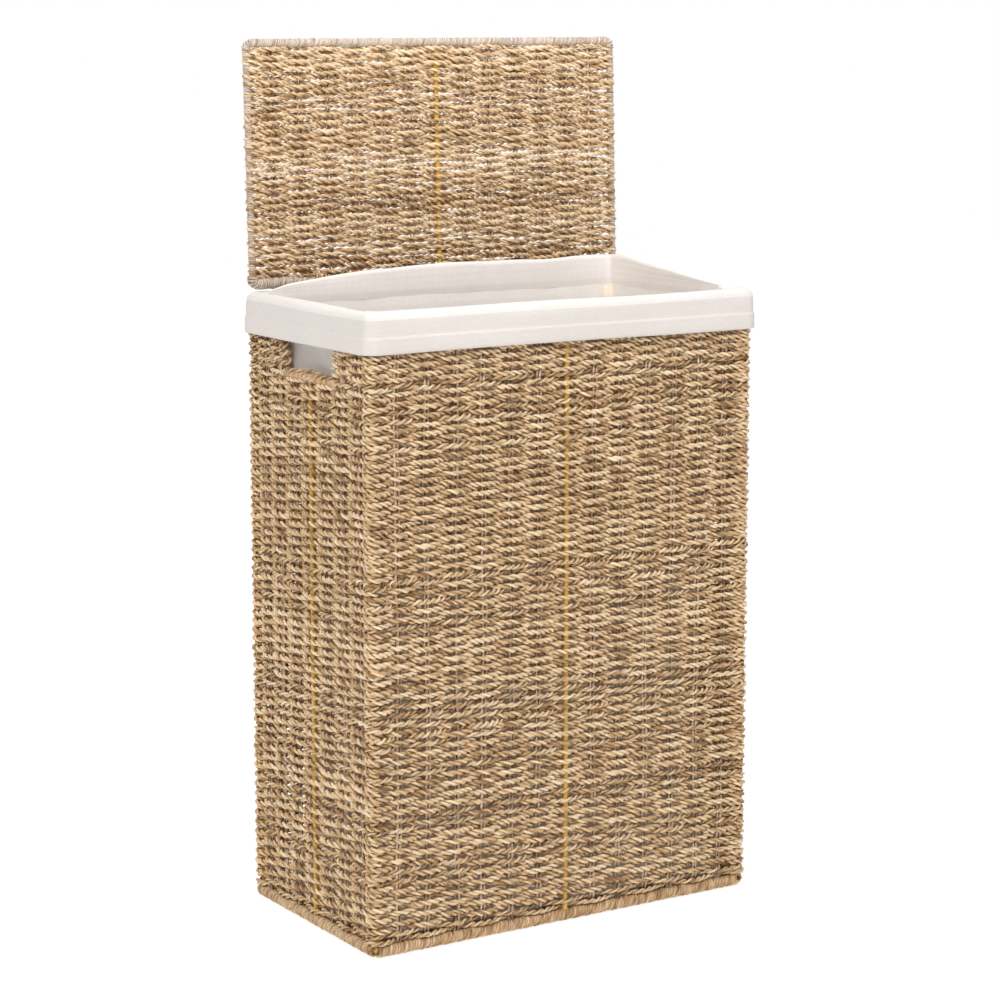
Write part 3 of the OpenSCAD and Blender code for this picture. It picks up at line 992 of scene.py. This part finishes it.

# %% [markdown]
# The rings become one sheet with a bottom, and the sheet gets the thickness of cloth. The outside of the
# cuff is painted a little greyer than the bag, as painted shade, because the cuff stands in brighter light
# than the inside.

# %% liner mesh


def cloth_piece(name, verts, faces, uvs, materials, face_material, thickness):
    """A thin sheet with its own thickness and a UV map in metres."""
    mesh = bpy.data.meshes.new(name)
    mesh.from_pydata([tuple(map(float, p)) for p in verts], [], faces)
    mesh.uv_layers.new(name="UVMap")
    mesh.uv_layers["UVMap"].data.foreach_set("uv", np.array(uvs, float).reshape(-1))
    mesh.polygons.foreach_set("use_smooth", np.ones(len(mesh.polygons), bool))
    for material in materials:
        mesh.materials.append(material)
    mesh.polygons.foreach_set("material_index", np.array(face_material, np.int32))
    piece = bpy.data.objects.new(name, mesh)
    bpy.context.scene.collection.objects.link(piece)
    bpy.context.view_layer.objects.active = piece
    thick = piece.modifiers.new("cloth", "SOLIDIFY")
    thick.thickness = thickness
    thick.offset = 0
    with bpy.context.temp_override(object=piece):
        bpy.ops.object.modifier_apply(modifier=thick.name)
    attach(piece, "basket")
    print(name, "triangles", 2 * len(piece.data.polygons))
    return piece


faces, uvs, looks = [], [], []
for i in range(len(rings) - 1):
    # painted shade: faces of the cuff and hem take the darker copy of the cotton
    outside = int(profile[i + 1][3] in ("cuff", "hem"))
    for j in range(per_ring):
        k = (j + 1) % per_ring
        faces.append((i * per_ring + j, i * per_ring + k, (i + 1) * per_ring + k, (i + 1) * per_ring + j))
        s0, s1 = ring_s[i], ring_s[i + 1]
        end0 = s0[k] if k else s0[-1] + 4 * MM
        end1 = s1[k] if k else s1[-1] + 4 * MM
        uvs += [(s0[j], ring_v[i]), (end0, ring_v[i]), (end1, ring_v[i + 1]), (s1[j], ring_v[i + 1])]
        looks.append(outside)
verts = [tuple(p) for ring in rings for p in ring]
last = list(range(per_ring))
for shrink in (0.8, 0.5, 0.2):
    start = len(verts)
    verts += [(x * shrink, y * shrink, floor_z + 0.4 * MM) for x, y, _ in rings[0]]
    fresh = list(range(start, start + per_ring))
    for j in range(per_ring):
        k = (j + 1) % per_ring
        quad = (fresh[j], fresh[k], last[k], last[j])
        faces.append(quad)
        uvs += [verts[q][:2] for q in quad]
        looks.append(0)
    last = fresh
faces.append(tuple(reversed(last)))
uvs += [verts[q][:2] for q in reversed(last)]
looks.append(0)
liner = cloth_piece("liner_cloth", verts, faces, uvs, [cloth_finish, cuff_painted_shade_finish], looks, LINER_T)
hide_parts("liner", "cuff_hem")

# %% [markdown]
# At the back the ties hold the cloth down on the rim, and the slack stands up in front of the lid as a soft
# pleat that runs on round the right-hand corner.

# %% standing pleat
PLEAT_TOP = [  # distance along the pleat in metres, its height in mm
    (0.0, 0.2),
    (0.02, 6.0),
    (0.06, 11.5),
    (0.12, 16.5),
    (0.2, 18.5),
    (0.3, 18.0),
    (0.41, 18.5),
    (0.44, 17.0),
    (0.52, 9.0),
    (0.6, 0.2),
]
rest_z = rim_z + fold_r
bag_x, bag_y = half_out + bag_off
turn_r = 7 * MM
path, inward = [], []
for x in np.linspace(-bag_x + 2 * MM, bag_x - turn_r, 110):
    path.append((x, bag_y))
    inward.append((0.0, -1.0))
for k in range(1, 8):
    angle = math.radians(90 - 90 * k / 8)
    path.append((bag_x - turn_r + turn_r * math.cos(angle), bag_y - turn_r + turn_r * math.sin(angle)))
    inward.append((-math.cos(angle), -math.sin(angle)))
for y in np.linspace(bag_y - turn_r, bag_y - 0.19, 50):
    path.append((bag_x, y))
    inward.append((-1.0, 0.0))
path, inward = np.array(path), np.array(inward)
run = np.concatenate([[0], np.cumsum(np.linalg.norm(np.diff(path, axis=0), axis=1))])
tall = np.interp(run, [p[0] for p in PLEAT_TOP], [p[1] for p in PLEAT_TOP]) * MM
tall = tall * (1 + 0.05 * slow_waves(11, run, 0 * run, 0.02))
share = np.clip(tall / (6 * MM), 0, 1)
lean_in = 0.7 * MM * slow_waves(12, run, 0 * run, 0.03) * share
section = [  # offset inward in mm, height as a share of the pleat, extra height in mm
    (-1.5, 0.0, -17.0),
    (0.2, 0.0, -12.0),
    (1.6, 0.0, -7.0),
    (2.2, 0.0, -3.0),
    (2.6, 0.15, -0.5),
    (3.0, 0.45, 0.0),
    (3.3, 0.75, 0.0),
    (3.1, 0.92, 0.0),
    (2.5, 1.0, 0.0),
    (1.9, 0.93, 0.0),
    (1.8, 0.6, 0.0),
    (1.6, 0.25, 0.0),
    (1.2, 0.0, 0.2),
    (-1.5, 0.0, 0.3),
]
rows = []
for inner, part, extra in section:
    waist = inner * MM * (0.35 + 0.65 * share) + (lean_in * part)
    height = rest_z + tall * part + extra * MM + 0.2 * MM
    rows.append(np.column_stack([path + inward * waist[:, None], height]))
section_mm = np.array(section)[:, [0, 2]]
steps_down = np.linalg.norm(np.diff(section_mm, axis=0), axis=1) * MM
length_down = np.concatenate([[0], np.cumsum(steps_down)])
count = len(path)
faces, uvs = [], []
for i in range(len(rows) - 1):
    for j in range(count - 1):
        faces.append((i * count + j, i * count + j + 1, (i + 1) * count + j + 1, (i + 1) * count + j))
        for a, b in ((i, j), (i, j + 1), (i + 1, j + 1), (i + 1, j)):
            uvs.append((run[b], length_down[a] + 0.02 * section[a][1]))
verts = np.concatenate(rows)
# painted light: the pleat takes the paler copy of the liner's cotton
pleat = cloth_piece("liner_pleat", verts, faces, uvs, [pleat_painted_light_finish], [0] * len(faces), 0.6 * MM)

# %% [markdown]
# The bag is sewn from four panels, and a folded cotton tape covers each upright seam.

# %% seam tapes
tape_rows = [i for i, p in enumerate(profile) if p[3] == "bag" and p[1] > floor_z + 0.012]
verts, faces, uvs = [], [], []
TAPE = np.array([-6.0, -5.2, -3.6, -1.2, 0.0, 1.2, 3.6, 5.2, 6.0]) * MM
TAPE_RISE = np.array([0.3, 1.0, 0.7, 0.8, 1.5, 0.8, 0.7, 1.0, 0.3]) * MM
for start in corner_start:
    base = len(verts)
    middle = start + CORNER_POINTS // 2
    for i in tape_rows:
        near = np.arange(middle - 9, middle + 10) % per_ring
        ring, normals = rings[i][near], ring_normals[i][near]
        s = np.concatenate([[0], np.cumsum(np.linalg.norm(np.diff(ring, axis=0), axis=1))])
        s -= s[9]
        for offset, lift in zip(TAPE, TAPE_RISE):
            at = np.array([np.interp(offset, s, ring[:, c]) for c in range(3)])
            way = np.array([np.interp(offset, s, normals[:, c]) for c in range(2)])
            verts.append((at[0] - way[0] * lift, at[1] - way[1] * lift, at[2]))
    wide = len(TAPE)
    for i in range(len(tape_rows) - 1):
        for j in range(wide - 1):
            a = base + i * wide + j
            faces.append((a, a + 1, a + 1 + wide, a + wide))
            for di, dj in ((0, 0), (0, 1), (1, 1), (1, 0)):
                uvs.append((TAPE[j + dj], verts[base + (i + di) * wide][2]))
tapes = cloth_piece("seam_tapes", verts, faces, uvs, [tape_finish], [0] * len(faces), 0.5 * MM)
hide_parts("liner_seam_tapes")

# %% [markdown]
# The liner is one sheet. Its length down the wall, over the rim and down the cuff is taken from its rings,
# and the pleat is given a mesh of its own.

down = ring_v[-1]
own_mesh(pleat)

# %% [markdown]
# The lid hangs on two ties of the same rope, each wound three times round the rim and the lid's
# back edge.

# %% hinge ties
tie_low, tie_high = low("right_hinge_tie"), high("right_hinge_tie")
TIE_TURNS = 3
tie_rope = (tie_high[0] - tie_low[0]) / TIE_TURNS / 2 - 0.08 * MM
tie_bend = (tie_high[1] - tie_low[1]) / 2 - tie_rope
tie_base = tie_low[2] + tie_rope + tie_bend
tie_top = tie_high[2] - tie_rope - tie_bend
tie_x = (tie_low[0] + tie_high[0]) / 2
for face, sign in (("left", -1), ("right", 1)):
    loops = []
    for turn in range(TIE_TURNS):
        x = sign * tie_x + (turn - (TIE_TURNS - 1) / 2) * 2 * (tie_rope + 0.08 * MM)
        points = []
        for centre, first_angle in ((tie_top, 0.0), (tie_base, math.pi)):
            for k in range(13):
                angle = first_angle + math.pi * k / 12
                y = half_mid[1] + tie_bend * math.cos(angle)
                points.append((x, y, centre + tie_bend * math.sin(angle)))
        strand = tie_rope / (1 + LOBE_APART)
        loops.append(tube(points, (1, 0, 0), TWO_STRANDS, strand, 2 * MM, 16 * MM, True, rope_tone()))
    build(f"{face}_tie_rope", loops, rope_finish, "basket", (f"{face}_hinge_tie",))

# %% [markdown]
# The wires, posts and struts keep the shapes of their CAD nodes and only get the lacquer.

# %% wires keep their CAD shapes
wires = [name for name in frame["nodes"] if name.endswith(("_wire", "_post", "_strut"))]
for name in wires:
    node = bpy.data.objects[name]
    node.data.materials.clear()
    node.data.materials.append(wire_finish)
print("lacquered wires", len(wires))

# %% [markdown]
# ## Stage and light
# A white floor glows a little, so that it stays white with a soft shadow. The sky is brighter
# overhead than at the sides. A large key light stands high on the left, in front.

# %% stage and light
bpy.ops.mesh.primitive_plane_add(size=12, location=(0, 0, 0))
floor = bpy.context.active_object
floor.name = "floor"
floor_paint, tree, shader = new_material("floor_white", 0.9)
shader.inputs["Base Color"].default_value = linear("#b4b4b4")
shader.inputs["Emission Color"].default_value = (1, 1, 1, 1)
shader.inputs["Emission Strength"].default_value = 0.7
floor.data.materials.append(floor_paint)

world = bpy.data.worlds.new("studio")
bpy.context.scene.world = world
world.use_nodes = True
sky = world.node_tree.nodes["Background"]
sky.inputs["Color"].default_value = (1, 1, 1, 1)
direction = add_node(world.node_tree, "ShaderNodeTexCoord").outputs["Generated"]
rise = add_node(world.node_tree, "ShaderNodeSeparateXYZ", {"Vector": direction}).outputs["Z"]
overhead = add_node(world.node_tree, "ShaderNodeMapRange", {"Value": rise, "To Min": 0.18, "To Max": 0.95})
ray = add_node(world.node_tree, "ShaderNodeLightPath").outputs["Is Camera Ray"]
strength = add_node(
    world.node_tree,
    "ShaderNodeMapRange",
    {"Value": ray, "To Min": overhead.outputs["Result"], "To Max": 1.0},
)
world.node_tree.links.new(strength.outputs["Result"], sky.inputs["Strength"])


def area_light(name, place, target, size, power):
    light = bpy.data.lights.new(name, "AREA")
    light.energy = power
    light.size = size
    holder = bpy.data.objects.new(name, light)
    holder.location = place
    holder.visible_camera = False
    holder.rotation_euler = (Vector(target) - Vector(place)).to_track_quat("-Z", "Y").to_euler()
    bpy.context.scene.collection.objects.link(holder)


area_light("key_light", (-2.3, -2.3, 3.0), (0, 0, 0.45), 1.3, 74)
area_light("top_light", (0.0, -0.35, 1.35), (0.0, 0.11, 0.56), 0.5, 2.8)
bpy.context.scene.view_settings.view_transform = "Standard"
